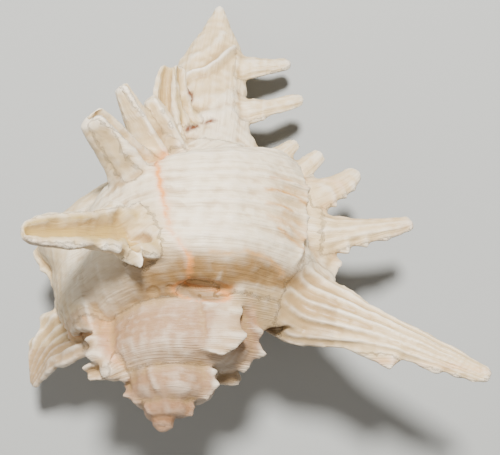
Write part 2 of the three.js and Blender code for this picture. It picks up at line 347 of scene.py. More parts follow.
# %% Frond list
DOWN, LEFT, UNDER, LIP = (0.03, 0, -1), (-0.42, 0, 0.91), (-0.87, 0, 0.5), (-0.47, 0, -0.88)
FRONDS = [
    # name, root, tip, bow, widths, open side, depth, frill, ribs
    ("shoulder", (27, 62, -5), (117.5, 30.5, 12), (0, -0.5, 5.5),
     (14, 25, 28, 22.5, 17, 13, 10.5, 8, 5.5), DOWN, 0.5, 0.03, (6, 1.7)),
    ("second", (44, 88, -1), (89.5, 97, 0), (0, -3, 2),
     (22, 20, 15.5, 12, 10, 8.5, 7.5, 6.5, 4.5), DOWN, 0.7, 0.06, (3, 0.35)),
    ("third", (40, 101, 0), (66.5, 118, 0), (1, -2, 1),
     (18, 17, 14, 12, 10.5, 9.5, 8.5, 7.5, 5), DOWN, 0.6, 0.06, (3, 0.35)),
    ("fourth", (32, 109, 0), (50.5, 125, 0), (1, -1, 0),
     (14, 9, 5), DOWN, 0.6, 0.06, (2, 0.3)),
    ("fifth", (24, 115, 2), (40, 129.5, 0), (1, -1, 0),
     (14, 8.5, 4), DOWN, 0.6, 0.06, (2, 0.3)),
    ("canal_low", (7, 140, 1), (41, 151, 1), (-1, -3, 2),
     (18, 15, 12, 9.5, 8, 7, 6.5, 6, 4.5), DOWN, 0.7, 0.04, (2, 0.2)),
    ("canal_high", (5, 163, 1), (33.7, 169, 1), (0, -2, 1.5),
     (20, 16, 12.5, 9.5, 8, 7, 6, 5, 3.6), DOWN, 0.7, 0.04, (2, 0.2)),
    ("back_shoulder", (-6, 63, 34), (-47.5, 41, 72), (2, 1, 0),
     (22, 20.5, 17.5, 14.5, 12.5, 11.2, 10.2, 9, 6), (0.30, 0.24, 0.88), 1.15, 0.20, (3, 0.3)),
    ("back_second", (-10, 83, 24), (-34.5, 94.5, 61.5), (0, 0, 1),
     (15, 17, 15.5, 13.5, 11.5, 10.5, 9.5, 8.5, 7), (0.75, 0.46, 0.50), 2.35, 0.05, (3, 0.6)),
    ("back_third", (-9, 96, 20), (-29, 115.5, 50), (0, 0, 2),
     (14, 15, 14, 12.5, 11, 9.5, 8, 6.5, 5), (0.75, 0.52, 0.43), 1.7, 0.05, (3, 0.6)),
    ("back_fourth", (-6, 104, 14), (-19, 119.5, 38), (1, 0, 2),
     (12, 14, 13.5, 12.5, 11, 9.5, 8.5, 7, 5.5), (0.75, 0.52, 0.43), 1.6, 0.05, (3, 0.5)),
    ("back_canal_a", (-8, 116, 10), (-16, 146.5, 21), (-3, 0, 2),
     (14, 13, 12, 11.5, 10.5, 9.5, 8, 7, 5), (0.3, 0, 0.95), 0.8, 0.04, (2, 0.3)),
    ("back_canal_b", (-4, 118, 8), (-11.8, 148.5, 19), (-2, 0, 2),
     (14, 13, 12, 11, 9.5, 8.5, 7.5, 6.5, 5), (0.75, 0, 0.65), 0.8, 0.04, (2, 0.3)),
    ("left_shoulder", (-24, 47, -12), (-61.5, 28.5, -52), (-6, 4, 4),
     (22, 26, 28, 27, 24.5, 21, 16.5, 12, 7.5), (-0.2, 0.1, 0.97), 0.3, 0.07, (6, -1.3)),
    ("left_second", (-26, 58, -6), (-63, 75.5, -17), (-1, -4, 3),
     (30, 28, 24, 19, 15, 12, 9.5, 7.5, 5), LEFT, 0.4, 0.06, (3, 0.5)),
    ("under_foot", (-16, 54, -20), (-29, 68, -70), (-4, -3, -4),
     (22, 13, 6.5), UNDER, 0.8, 0.08, (3, 0.4)),
    ("under_third", (-10, 66, -18), (-20, 84, -46), (-1, -2, -2),
     (15, 9, 5), UNDER, 0.8, 0.08, (3, 0.4)),
    ("under_fourth", (-6, 78, -12), (-14, 100, -30), (0, -1, -1),
     (13, 8, 4), UNDER, 0.8, 0.08, (2, 0.3)),
    ("lip_high", (40, 68, -16), (51, 62, -40), (3, -1, 0),
     (15, 9, 5), LIP, 0.8, 0.08, (3, 0.4)),
    ("lip_foot", (47, 86, -18), (54, 84, -64), (5, 1, 0),
     (20, 12, 7), LIP, 0.8, 0.08, (3, 0.4)),
    ("lip_third", (45, 102, -16), (51, 109, -42), (3, 1, 0),
     (14, 8, 4.5), LIP, 0.8, 0.08, (3, 0.3)),
    ("lip_low", (36, 113, -14), (40, 124, -32), (2, 1, 0),
     (12, 7, 4), LIP, 0.8, 0.08, (2, 0.3)),
    ("spire_point", (12, 31, -10), (27, 27, -14), (0, 0, 0),
     (15, 8, 3), (0.5, 0, -0.87), 0.5, 0.03, (2, 0.3)),
    ("spire_gutter", (-12, 24, 8), (-31, 19, 1), (0, -1, 2),
     (12, 9, 5), (-0.2, -0.75, 0.6), 0.8, 0.05, (2, 0.3)),
]

# Single teeth on the rims: frond, side (-1 or 1), place along it, size, length before it.
TEETH = [
    ("shoulder", -1, 0.642, 0.85, 0.24), ("shoulder", -1, 0.81, 0.45, 0.12),
    ("shoulder", -1, 0.88, 0.22, 0.05), ("shoulder", -1, 0.94, 0.25, 0.04),
    ("second", -1, 0.42, 0.60, 0.16), ("second", -1, 0.58, 0.45, 0.12),
    ("second", -1, 0.76, 0.32, 0.10), ("third", -1, 0.50, 0.60, 0.16),
    ("third", -1, 0.66, 0.35, 0.12), ("third", -1, 0.82, 0.35, 0.12),
    ("fourth", -1, 0.55, 0.5, 0.2), ("fifth", -1, 0.6, 0.4, 0.2),
    ("canal_low", -1, 0.52, 0.25, 0.16), ("back_shoulder", -1, 0.375, 1.25, 0.055),
    ("back_shoulder", -1, 0.58, 0.20, 0.05), ("back_shoulder", -1, 0.47, 0.15, 0.06),
    ("back_shoulder", 1, 0.36, 0.30, 0.06), ("back_shoulder", 1, 0.50, 0.22, 0.06),
    ("back_shoulder", 1, 0.64, 0.16, 0.05), ("left_shoulder", 1, 0.45, 0.30, 0.10),
    ("left_shoulder", 1, 0.62, 0.35, 0.10), ("left_shoulder", 1, 0.78, 0.30, 0.08),
    ("left_second", -1, 0.6, 0.3, 0.12), ("left_second", -1, 0.8, 0.3, 0.1),
]
BACK_ROW = range(7, 13)  # the numbers of the fronds on the back varix, longest first
print("fronds:", len(FRONDS))

# %% [markdown]
# The path of a frond is a curve through its root, its bowed middle and its tip. At each
# step along it stands a thin crescent, wide at the root, with a rounded end at the tip.

# %% Frond maker
FROND_STEPS, FROND_ACROSS = 96, 27


def frond_path(root, tip, bow, steps):
    root, tip = np.array(root, float), np.array(tip, float)
    middle = (root + tip) / 2 + np.array(bow, float)
    t = np.linspace(0, 1, steps)[:, None]
    curve = root * (1 - t) ** 2 + 2 * (2 * middle - (root + tip) / 2) * t * (1 - t) + tip * t**2
    return curve, np.gradient(curve, axis=0)


def frond_frame(heading, opening):
    """Unit vectors across the frond and out of its open side."""
    heading = heading / np.linalg.norm(heading, axis=1, keepdims=True)
    across = np.cross(heading, np.array(opening, float))
    across /= np.linalg.norm(across, axis=1, keepdims=True)
    return across, np.cross(across, heading)


def frond_width(widths, t):
    """The width along a frond, smooth through the given widths, with a round end."""
    if len(widths) == 3:
        root, half, tip = widths
        widths = (root, 0.45 * root + 0.55 * half, half, 0.5 * (half + tip), tip)
    knots = np.stack([np.linspace(0, 1, len(widths)), widths], 1)
    line = smooth_line(knots, 60)
    end = np.sqrt(np.clip(1 - unit((t - 0.97) / 0.03) ** 2, 0.2, 1))
    return np.interp(t, line[:, 0], line[:, 1]) * end


def wander(t, knots, seed):
    """A smooth line of random height from -1 to 1 along t from 0 to 1."""
    heights = np.random.default_rng(seed).uniform(-1, 1, knots)
    line = smooth_line(np.stack([np.linspace(0, 1, knots), heights], 1), 200)
    return np.interp(t, line[:, 0], line[:, 1])


def rim_waves(name, t, side, frill, seed):
    """Uneven waves and single teeth along one rim, as a share of the half width."""
    waves = frill * (wander(t, 9, seed) + 0.6 * wander(t, 17, seed + 1))
    waves = waves * unit((t - 0.12) * 6) * unit((1.02 - t) * 8)
    for tooth_name, tooth_side, at, size, length in TEETH:
        if tooth_name == name and tooth_side == side:
            rise = unit(1 - (at - t) / length) * (t <= at)
            drop = unit(1 - (t - at) / 0.022) * (t > at)
            point = soft(t, at, 0.5 * length)
            waves = waves + size * (rise**1.6 + drop if length > 0.07 else point)
    return waves


def make_frond(entry, seed):
    name, root, tip, bow, widths, opening, depth, frill, (ribs, rib_height) = entry
    curve, heading = frond_path(root, tip, bow, FROND_STEPS)
    across, out = frond_frame(heading, opening)
    t = np.linspace(0, 1, FROND_STEPS)
    half = frond_width(widths, t)[:, None] / 2
    left = 1 + rim_waves(name, t, -1, frill, seed)[:, None]
    right = 1 + rim_waves(name, t, 1, frill, seed + 50)[:, None]
    w = np.linspace(-1, 1, FROND_ACROSS)[None, :]
    side = half * np.where(w < 0, left, right) * w
    low = -depth * half * (1 - np.abs(w) ** 2.2 - 0.3)
    run, drop = np.gradient(side, axis=1), np.gradient(low, axis=1)
    length = np.hypot(run, drop)
    run, drop = run / length, drop / length
    wall = np.clip(1.1 + 0.12 * half, 1.4, 2.8) / 2 * (1 + 0.5 * (1 - t[:, None]) ** 2)
    fade = (1.15 - t[:, None]) * unit(t[:, None] * 8)
    bend = 1.3 * wander(t, 7, seed + 3)[:, None]
    rib = rib_height * fade * (0.5 + 0.5 * np.cos(ribs * np.pi * w + bend)) * (1 - w**4)
    bead = wall * (1 + 3.2 * frill) * (1 + 0.45 * np.abs(w) ** 8)
    back, face = bead + np.maximum(rib, 0), bead + np.maximum(-rib, 0)
    outer = np.stack([side + drop * back, low - run * back], -1)
    inner = np.stack([side - drop * face, low + run * face], -1)[:, ::-1]
    end_rim = np.stack([side + run * wall, low + drop * wall], -1)[:, -1:]
    start_rim = np.stack([side - run * wall, low - drop * wall], -1)[:, :1]
    ring = np.concatenate([outer, end_rim, inner, start_rim], 1)
    points = (curve[:, None, :] + across[:, None, :] * ring[..., 0:1]
              + out[:, None, :] * ring[..., 1:2])
    return skin("frond_" + name, points)


for number, entry in enumerate(FRONDS):
    solids.append(make_frond(entry, number + 3))
print("fronds made:", len(FRONDS))

# %% [markdown]
# ## Webs between the fronds
# Along an old lip the fronds stand on a common wall, which spreads out between them like
# the web of a duck's foot. Each web is given a line where it leaves the shell and a line
# for its rim, and is folded a little from one to the other.

# %% Webs
WEBS = [
    # name, root line, rim line, folds, fold height, bulge
    ("left", [(-28, 34, 10), (-32, 43, 15), (-35, 52, 18), (-35, 60, 19), (-33, 68, 20),
              (-30, 76, 19), (-25, 84, 16), (-18, 92, 12), (-10, 99, 8)],
     [(-40, 39, -24), (-47, 48, -25), (-51, 57, -25), (-54, 66, -22), (-62, 74, -18),
      (-60, 81, -17), (-53, 91, -16), (-45, 98, -13), (-35, 103, -7), (-24, 106, 0)],
     6, 0.5, (-4, 0, 5)),
    ("right", [(38, 62, 4), (43, 70, -2), (45, 80, -4), (45, 90, -4), (44, 96, -4),
               (42, 103, -3), (38, 109, -2), (32, 112, -1), (24, 115, 0), (16, 118, 0)],
     [(58, 62, 4), (61, 70, 0), (60, 80, -3), (54, 89, -4), (52, 96, -3), (50, 104, -2),
      (45, 112, 0), (39, 117, 0), (33, 121, 0), (25, 124, 0)], 8, 0.5, (0, 0, 1.5)),
    ("ramp", [(14, 52, 36), (20, 54, 34), (28, 55.5, 28), (34.5, 57, 20), (39, 58, 9.5),
              (44, 58, 3)],
     [(9, 45, 22), (14, 44, 19), (20, 41, 16.5), (28, 38.5, 11), (35, 39.5, 9),
      (41, 41, 9), (48, 43, 8), (56, 45, 5)], 3, 0.2, (1, -1, 1)),
    ("frill", [(4, 44.5, 26.5), (9, 43.5, 25.5), (12, 38, 24), (13.5, 32, 23.3),
               (12, 27.5, 21), (9.5, 26, 19.5)],
     [(12, 47.5, 26), (21.8, 46.5, 24), (24.5, 39.3, 24), (26, 32.1, 23), (23.7, 28, 22.5),
      (19, 23.5, 22.5)], 7, 1.2, (0, 0, 1)),
    ("under", [(-20, 40, -16), (-18, 50, -20), (-14, 60, -22), (-10, 70, -18), (-6, 80, -12)],
     [(-34, 42, -40), (-28, 54, -44), (-22, 66, -40), (-16, 78, -32), (-10, 92, -22)],
     5, 0.5, (-2, 0, -1)),
    ("lip", [(44, 62, -8), (47, 72, -14), (48, 84, -16), (46, 96, -16), (42, 106, -15),
             (34, 114, -13)],
     [(50, 62, -20), (54, 72, -26), (55, 84, -30), (53, 97, -27), (48, 109, -24),
      (38, 119, -20)], 7, 0.6, (1, 0, 0)),
]


def make_web(entry, seed):
    name, root, rim, folds, height, bulge = entry
    count, steps = 110, 16
    root, rim = smooth_line(root, count), smooth_line(rim, count)
    u = np.linspace(0, 1, count)
    outward = (rim - root) / np.linalg.norm(rim - root, axis=1, keepdims=True)
    frill = 1.1 * wander(u, 2 * folds, seed) + 0.5 * wander(u, 31, seed + 1)
    rim = rim + outward * frill[:, None]
    v = np.linspace(0, 1, steps)[None, :, None]
    sheet = root[:, None] * (1 - v) + rim[:, None] * v
    sheet = sheet + np.array(bulge, float) * np.sin(np.pi * v)
    normal = np.cross(np.gradient(sheet, axis=0), np.gradient(sheet, axis=1))
    normal /= np.linalg.norm(normal, axis=2, keepdims=True)
    fold = height * wander(u, 3 * folds, seed + 2)[:, None, None] * v
    wall = 2.8 * (1 - v) + 0.8 * v
    top, bottom = sheet + normal * (fold + wall), sheet + normal * (fold - wall)
    edge = (top[:, -1:] + bottom[:, -1:]) / 2 + outward[:, None] * 0.6
    return skin("web_" + name, np.concatenate([top, edge, bottom[:, ::-1]], 1))


for number, entry in enumerate(WEBS):
    solids.append(make_web(entry, number + 81))
print("webs:", len(WEBS))

# %% [markdown]
# ## Frilled blades
# On the spire each varix still stands up as a thin blade with a few points. It follows
# the outline at one angle, a little way out from the surface.

# %% Blades along the varices
BLADE_STEPS, BLADE_WALL = 90, 0.85
BLADES = [
    # varix number, along from and to, height, points along it, how sharp, lean in degrees
    (1, 60, 104, 1.2, (0.2, 0.5, 0.8), 0.3, 0),
    (3, 54, 110, 7.0, (0.15, 0.4, 0.65, 0.85), 0.4, -4),
    (4, 54, 108, 4.6, (0.08, 0.34, 0.55, 0.74, 0.92), 0.8, 4),
    (5, 50, 108, 9.5, (0.05, 0.24, 0.45, 0.66, 0.88), 0.45, -10),
    (6, 52, 108, 6.0, (0.15, 0.5, 0.8), 0.6, -4), (7, 54, 106, 3.4, (0.1, 0.5, 0.85), 0.6, 0),
    (8, 54, 106, 0.9, (0.2, 0.8), 0.3, 0), (9, 52, 106, 3.2, (0.1, 0.4, 0.8), 0.7, -6),
    (10, 54, 106, 3.0, (0.2, 0.7), 0.6, 0), (11, 54, 106, 1.8, (0.2, 0.7), 0.6, 0),
    (12, 54, 106, 0.7, (0.2, 0.8), 0.3, 0), (13, 54, 106, 1.6, (0.2, 0.7), 0.6, 0),
]


def make_blade(entry, seed):
    number, first, last, height, teeth, sharp, lean = entry
    inside = (FINE_OUTLINE[:, 1] > first) & (FINE_OUTLINE[:, 1] < last)
    line = smooth_line(FINE_OUTLINE[inside], BLADE_STEPS)
    angle = lip_line(VARICES[number], line[:, 1])
    t = np.linspace(0, 1, BLADE_STEPS)
    peaks = np.max([unit(1 - np.abs(t - at) / 0.13) ** 1.2 for at in teeth], axis=0)
    wave = (1 - sharp) + sharp * peaks + 0.08 * wander(t, 21, seed)
    high = height * wave * np.sin(np.pi * np.clip(t, 0.015, 0.985)) ** 0.3
    size = girth(angle.mean())
    slope = np.gradient(line, axis=0)
    normal = np.stack([slope[:, 1], -slope[:, 0]], 1)
    normal /= np.linalg.norm(normal, axis=1, keepdims=True)
    wall = np.degrees(BLADE_WALL / (50 * size))
    profile = [(-0.6, -3.2), (0.0, -1.9), (0.5, -1.2), (0.85, -1.0), (1.0, -0.3),
               (1.0, 0.3), (0.85, 1.0), (0.5, 1.1), (0.0, 1.3), (-0.6, 1.8)]
    rings = []
    for up, side in profile:
        place = line + np.where(up > 0, high / size, 7.0)[:, None] * up * normal
        sway = 1.5 * wander(t, 9, seed + 1) * max(up, 0)
        turn = angle - 1.5 + side * wall + lean * max(up, 0) ** 2 + sway
        rings.append(on_coil(place[:, 0], place[:, 1], turn))
    return skin("blade", np.stack(rings, 1))


for number, entry in enumerate(BLADES):
    solids.append(make_blade(entry, number + 40))
print("solids so far:", len(solids))

# %% [markdown]
# ## One skin
# All the solids are joined, then a voxel remesh fuses them: it keeps only the outer
# surface and rounds the joints slightly, as growth does.

# %% Fuse
VOXEL = 0.75


def apply_modifier(body, kind, **settings):
    """Give a body a modifier, set it up, and apply it at once."""
    select_only(body)
    modifier = body.modifiers.new(kind.lower(), kind)
    for name, value in settings.items():
        setattr(modifier, name, value)
    bpy.ops.object.modifier_apply(modifier=modifier.name)


def fuse(pieces):
    for piece in pieces:
        face_outwards(piece)
    select_only(*pieces)
    bpy.ops.object.join()
    body = bpy.context.object
    apply_modifier(body, "REMESH", mode="VOXEL", voxel_size=VOXEL)
    return body


shell = fuse(solids)
shell.name = "murex_shell"
print("fused faces:", len(shell.data.polygons))

# %% [markdown]
# ## The opening
# The mouth of the shell is on the underside. A smooth hollow winds back into the last
# whorl, and an open gutter runs from it down the canal. Both are cut with booleans.

# %% Hollow and gutter
HOLLOW = [
    (15, 78), (24, 68), (34, 65), (42, 68), (47, 76), (49, 87), (48.5, 97),
    (45, 105), (37, 110), (27, 112.5), (17, 113), (13, 106), (13, 92),
]
HOLLOW_BACK = -160.0
HOLLOW_STEPS = 90


def closed_line(points, count):
    """A smooth closed curve, found between two passes through its first point."""
    loop = smooth_line(points[-2:] + points + points[:3], 8 * count)
    far = np.linalg.norm(loop - np.array(points[0]), axis=1)
    first, again = far[:4 * count].argmin(), 4 * count + far[4 * count:].argmin()
    at = np.linspace(first, again, count, endpoint=False).astype(int)
    return loop[at]


def make_hollow():
    loop = closed_line(HOLLOW, 64)
    middle = loop.mean(0)
    angles = np.linspace(HOLLOW_BACK, LIP_ANGLE + 5, HOLLOW_STEPS)
    t = np.linspace(0, 1, HOLLOW_STEPS)
    size = (1 - 0.8 * (1 - t) ** 4) * (1 + 0.05 * unit((t - 0.93) / 0.07) ** 2)
    rings = []
    for angle, scale in zip(angles, size):
        ring = middle + (loop - middle) * scale
        a = math.radians(angle)
        radius = ring[:, 0] * girth(angle) * (1 + swell(angle, ring[:, 1]))
        rings.append(np.stack([radius * math.sin(a), ring[:, 1] * reach(angle),
                               radius * math.cos(a)], -1))
    return skin("hollow", np.array(rings))


GUTTER = [
    # along, x, z, half width
    (104, 14, -14, 7), (118, 10, -13, 4.5), (130, 7, -12, 2.6), (145, 4, -10, 2.0),
    (165, 1.5, -7.5, 1.6), (186, 0.8, -4.5, 1.2),
]


def make_gutter():
    line = smooth_line(GUTTER, 60)
    turn = np.linspace(0, 2 * np.pi, 24, endpoint=False)
    x = line[:, 1:2] + line[:, 3:4] * np.cos(turn)
    lift = np.where(np.sin(turn) > 0, 1.8 * line[:, 3:4], 7.0) * np.sin(turn)
    return skin("gutter", np.stack([x, line[:, 0:1] + 0 * x, line[:, 2:3] + lift], -1))


def cut(body, cutter):
    face_outwards(cutter)
    apply_modifier(body, "BOOLEAN", operation="DIFFERENCE", solver="MANIFOLD", object=cutter)
    bpy.data.objects.remove(cutter, do_unlink=True)


cut(shell, make_hollow())
cut(shell, make_gutter())
print("faces after cutting:", len(shell.data.polygons))

# %% [markdown]
# A second remesh gives the cut rims the same even grid as the rest, and a few passes of
# smoothing take the steps of the voxels away.

# %% Even out the skin
apply_modifier(shell, "REMESH", mode="VOXEL", voxel_size=VOXEL)
apply_modifier(shell, "SMOOTH", factor=0.5, iterations=4)
print("even faces:", len(shell.data.polygons))

# %% [markdown]
# ## Reading the surface
# To carve spiral cords and colour the old lips, each point has to know where it sits:
# how far round the coil, how far along the outline, and whether it is on a frond. The
# growth law answers the first two; the curves of the fronds answer the third.

# %% Where each point sits
FROND_SAMPLES = 30
FAR = 1e9


def read_points(mesh):
    flat = np.empty(len(mesh.vertices) * 3)
    mesh.vertices.foreach_get("co", flat)
    return flat.reshape(-1, 3)


def write_points(mesh, p):
    mesh.vertices.foreach_set("co", p.ravel())
    mesh.update()


def read_normals(mesh):
    flat = np.empty(len(mesh.vertices) * 3, np.float32)
    mesh.vertex_normals.foreach_get("vector", flat)
    return flat.reshape(-1, 3)


def place_on_coil(p):
    """Angle, place along the outline, and distance out from the coil, for each point."""
    around = np.degrees(np.arctan2(p[:, 0], p[:, 2]))
    radius = np.hypot(p[:, 0], p[:, 2])
    best = np.full(len(p), FAR)
    angle, along = np.zeros(len(p)), np.zeros(len(p))
    for turn in range(5):
        a = around - 360 * turn
        y = p[:, 1] / reach(a)
        out = np.interp(y, FINE_OUTLINE[:, 1], FINE_OUTLINE[:, 0], left=0, right=0)
        gap = radius - out * girth(a) * (1 + swell(a, y))
        gap[(a > LIP_ANGLE + 3) | (y < 42) | (y > 165)] = 1e6
        closer = np.abs(gap) < np.abs(best)
        best = np.where(closer, gap, best)
        angle, along = np.where(closer, a, angle), np.where(closer, y, along)
    return angle, along, best


def place_on_fronds(p, normals):
    """The nearest frond, how far up and across it a point is, whether it faces the open
    side, and how strongly it belongs to the frond."""
    nearest = np.full(len(p), FAR)
    up, side, inside = np.zeros(len(p)), np.zeros(len(p)), np.zeros(len(p))
    which = np.full(len(p), -1)
    last = FROND_SAMPLES - 1
    for number, frond in enumerate(FRONDS):
        root, tip, bow, widths, opening = frond[1:6]
        curve, heading = frond_path(root, tip, bow, FROND_SAMPLES)
        across, out = frond_frame(heading, opening)
        near = np.where((p > curve.min(0) - 16).all(1) & (p < curve.max(0) + 16).all(1))[0]
        offset = p[near, None, :] - curve[None, :, :]
        far = np.linalg.norm(offset, axis=2)
        k = far.argmin(1)
        beyond = (offset[np.arange(len(near)), k] * heading[k]).sum(1)
        t = k / last + np.clip(beyond / (heading[k] ** 2).sum(1), -0.5, 0.5) / last
        half = frond_width(widths, t) / 2
        share = far[np.arange(len(near)), k] / (half * 1.3)
        better = (share < nearest[near]) & (share < 1)
        at, k = near[better], k[better]
        gap = p[at] - curve[k]
        nearest[at], up[at], which[at] = share[better], t[better], number
        side[at] = (gap * across[k]).sum(1) / half[better]
        inside[at] = (normals[at] * out[k]).sum(1)
    return which, up, side, inside, unit((1 - nearest) * 3.5)


print("ready to place", len(shell.data.vertices), "points")

# %% [markdown]
# ## Growing the joints together
# Where a frond or a web leaves the shell, the fused solids meet in a sharp crease. The
# real shell flows from one into the other. So points that lie below their neighbours
# near such a joint are lifted towards them, a little at a time, until a fillet forms.

# %% Fillets
FILLET_ROUNDS, PLACE_EVERY = 32, 8


def read_edges(mesh):
    ends = np.empty(len(mesh.edges) * 2, int)
    mesh.edges.foreach_get("vertices", ends)
    return ends.reshape(-1, 2)


def mean_over_edges(first, second, values):
    """For each point, the mean of a value over the points that edges join it to."""
    size = len(values)
    count = np.bincount(first, minlength=size) + np.bincount(second, minlength=size)
    total = np.stack([np.bincount(first, c[second], size) + np.bincount(second, c[first], size)
                      for c in values.T], 1)
    return total / np.maximum(count, 1)[:, None]


def neighbour_mean(mesh, values):
    return mean_over_edges(*read_edges(mesh).T, values)


def sunkenness(mesh, p, normals, passes):
    """How far each point lies below its surroundings, in millimetres."""
    around = p
    for _ in range(passes):
        around = neighbour_mean(mesh, around)
    return ((around - p) * normals).sum(1)


def grow_joints(mesh, rounds):
    p = read_points(mesh)
    for turn in range(rounds):
        normals = read_normals(mesh)
        if turn % PLACE_EVERY == 0:
            angle, along, gap = place_on_coil(p)
            which, up, _, inside, _ = place_on_fronds(p, normals)
            joint = np.maximum((which >= 0) * unit(2.2 - 4 * up),
                               (gap > -1.5) * (gap < 8) * (angle > -130) * (along > 56))
            joint = joint * ((inside < 0.5) | (up < 0.22))
        mean = neighbour_mean(mesh, p)
        sunk = ((mean - p) * normals).sum(1)
        share = joint * unit(sunk / 0.03)
        p = p + share[:, None] * (mean - p)
        write_points(mesh, p)
    return p


points = grow_joints(shell.data, FILLET_ROUNDS)

# Where a wide frond root flows into the body: centre, radius, and rounds of smoothing.
SADDLES = [
    ((41, 55, 14), 15, 120), ((50, 66, 6), 13, 90), ((52, 80, 1), 9, 60),
    ((51, 92, 0), 9, 60), ((50, 101, 0), 8, 50), ((38, 44, 9), 9, 50),
    ((-12, 84, 44), 8, 16), ((-14, 70, 44), 10, 24), ((-3, 64, 44), 11, 50),
]
BARE_SADDLES = SADDLES[:6]  # no cords run over these


def melt(mesh, p, centre, radius, rounds):
    """Smooth everything within a ball, most in its middle."""
    far = np.linalg.norm(p - np.array(centre, float), axis=1)
    ends = read_edges(mesh)
    ends = ends[(far[ends] < radius).all(1)]
    chosen, place = np.unique(ends.T.ravel(), return_inverse=True)
    first, second = place.reshape(2, -1)
    share = np.clip(1.6 * (1 - far[chosen] / radius), 0, 0.9)[:, None]
    spot = p[chosen]
    for _ in range(rounds):
        spot = spot + share * (mean_over_edges(first, second, spot) - spot)
    p[chosen] = spot


for centre, radius, rounds in SADDLES:
    melt(shell.data, points, centre, radius, rounds)
write_points(shell.data, points)
print("points:", len(points))

# %% [markdown]
# ## Cords, growth lines and wear
# Spiral cords run round the whorls, growth lines cross them, and the whole surface is
# slightly uneven. A sum of a few slow waves in random directions gives the unevenness.

# %% Carve the surface
def unevenness(p, size, seed):
    """A smooth random field from -1 to 1 whose bumps are about size across."""
    rng = np.random.default_rng(seed)
    total = np.zeros(len(p))
    for _ in range(9):
        direction = rng.normal(size=3)
        direction /= np.linalg.norm(direction)
        wave = 2 * np.pi / (size * rng.uniform(0.7, 1.5))
        total += np.sin(p @ direction * wave + rng.uniform(0, 2 * np.pi))
    return total / 4.0


def threads(across, spacing, seed):
    """Random fine ridges, like uneven threads laid side by side."""
    heights = np.random.default_rng(seed).uniform(-1, 1, 600)
    at = (np.asarray(across) / spacing) % 598
    k = at.astype(int)
    share = at - k
    share = share * share * (3 - 2 * share)
    return heights[k] * (1 - share) + heights[k + 1] * share


def cords(along, angle):
    """Uneven spiral cords that swell, fade and wander as they go round."""
    a = np.radians(angle)
    drift = along + 0.7 * np.sin(3.1 * a) + 0.45 * np.sin(7.3 * a + 1) + 0.2 * np.sin(19 * a)
    swap = 0.5 + 0.5 * np.sin(2.3 * a + along * 0.16)
    broad = threads(drift, 2.6, 11)
    fine = threads(drift, 0.95, 12) * swap + threads(drift + 3, 0.95, 13) * (1 - swap)
    strong = 0.65 + 1.5 * soft(angle, 52, 22) * unit((along - 68) / 10)
    return strong * (0.42 * broad + 0.34 * fine)


def growth_lines(along, angle):
    """Faint lines across the cords, one for each pause in growth."""
    slant = angle + 0.4 * along + 0.8 * np.sin(along * 0.21)
    return 0.06 * threads(slant, 3.4, 14) + 0.03 * threads(slant, 1.1, 15)


LAST_WHORL = LIP_ANGLE - 340  # the angle at which the last whorl begins

# Sharp folds across the canal: points (x, along), height, width.
CREASES = [
    ([(-13, 149), (-7, 152), (-2, 154), (3, 160), (7, 167), (9.5, 173)], 3.2, 1.5),
    ([(-12, 160), (-4, 165), (1, 171), (4, 180)], 0.9, 1.8),
    ([(-14, 136), (-5, 138), (6, 141), (14, 146)], 1.0, 2.4),
    ([(-8, 128), (0, 130), (8, 133), (16, 139)], 1.0, 2.4),
]

# Folds across the root of the second back frond.
FOLDS = [
    ([(-25.6, 79.9), (-19.5, 82.6), (-13, 87.5)], 0.5, 1.2),
    ([(-24.2, 76.6), (-18.1, 78.6), (-12, 82.6)], 0.6, 1.2),
    ([(-26.0, 83.8), (-20.9, 86.6), (-15, 90.6)], 0.4, 1.2),
]

# Sharp ridges up a frond: frond number, how many, height, and 1 inside or -1 on its back.
RIDGES = [(0, 4.6, 1.9, -1), (13, 5.4, 1.6, 1), (7, 3, 0.5, -1), (1, 3, 0.5, -1)]

# Small pockets left where a frond was overgrown: centre, size and depth. The first
# three are orange inside, the fourth has an orange edge, and the fourth and the rest are
# darkened with painted shade.
POCKETS = [
    ((-12.5, 91, 42), (2.2, 2.0, 3.5), 3.0), ((-9.5, 94.5, 38), (2.4, 2.0, 3.5), 3.0),
    ((-5.5, 98, 33), (3.4, 2.2, 3.5), 2.4), ((9.5, 45.2, 29), (9.5, 2.7, 6), 4.2),
    ((-8, 43, 29), (2.2, 1.2, 4), 1.0), ((-2, 44, 30), (1.6, 0.9, 4), 0.8),
    ((-14, 56, 47), (4.0, 2.6, 6), 3.2),
]


def near_line(flat, line):
    """Distance from points (x, along) to a broken line, and how far along it they are."""
    line = np.array(line, float)
    best, where = np.full(len(flat), FAR), np.zeros(len(flat))
    for k in range(len(line) - 1):
        start, run = line[k], line[k + 1] - line[k]
        t = unit((flat - start) @ run / (run @ run))
        far = np.linalg.norm(flat - start - t[:, None] * run, axis=1)
        where = np.where(far < best, (k + t) / (len(line) - 1), where)
        best = np.minimum(best, far)
    return best, where


def ball_distance(p, centre, spread):
    """Distance from a centre, as a share of a ball that may be longer one way."""
    return np.linalg.norm((p - np.array(centre)) / np.array(spread), axis=1)


def fold_shape(p, line, width, sharpness):
    """A fold of height 1 that follows a line (x, along) and dies out at its ends."""
    far, where = near_line(p[:, :2], line)
    return unit(sharpness * np.minimum(where, 1 - where) + 0.1) * soft(far, 0, width)


def carve_canal(p, normals):
    """Growth lines and folds over the canal."""
    x, y, z = p.T
    upper = unit(normals[:, 2] * 3)
    on_canal = unit((y - 116) / 6) * (np.abs(x) < 24) * (z > -14)
    across = x * (1 + 0.004 * (y - 150)) + 0.6 * np.sin(y * 0.13)
    lift = on_canal * (0.24 * threads(across, 2.8, 16) + 0.09 * threads(across, 0.9, 17))
    for line, height, width in CREASES:
        lift += on_canal * upper * height * fold_shape(p, line, width, 6)
    return lift


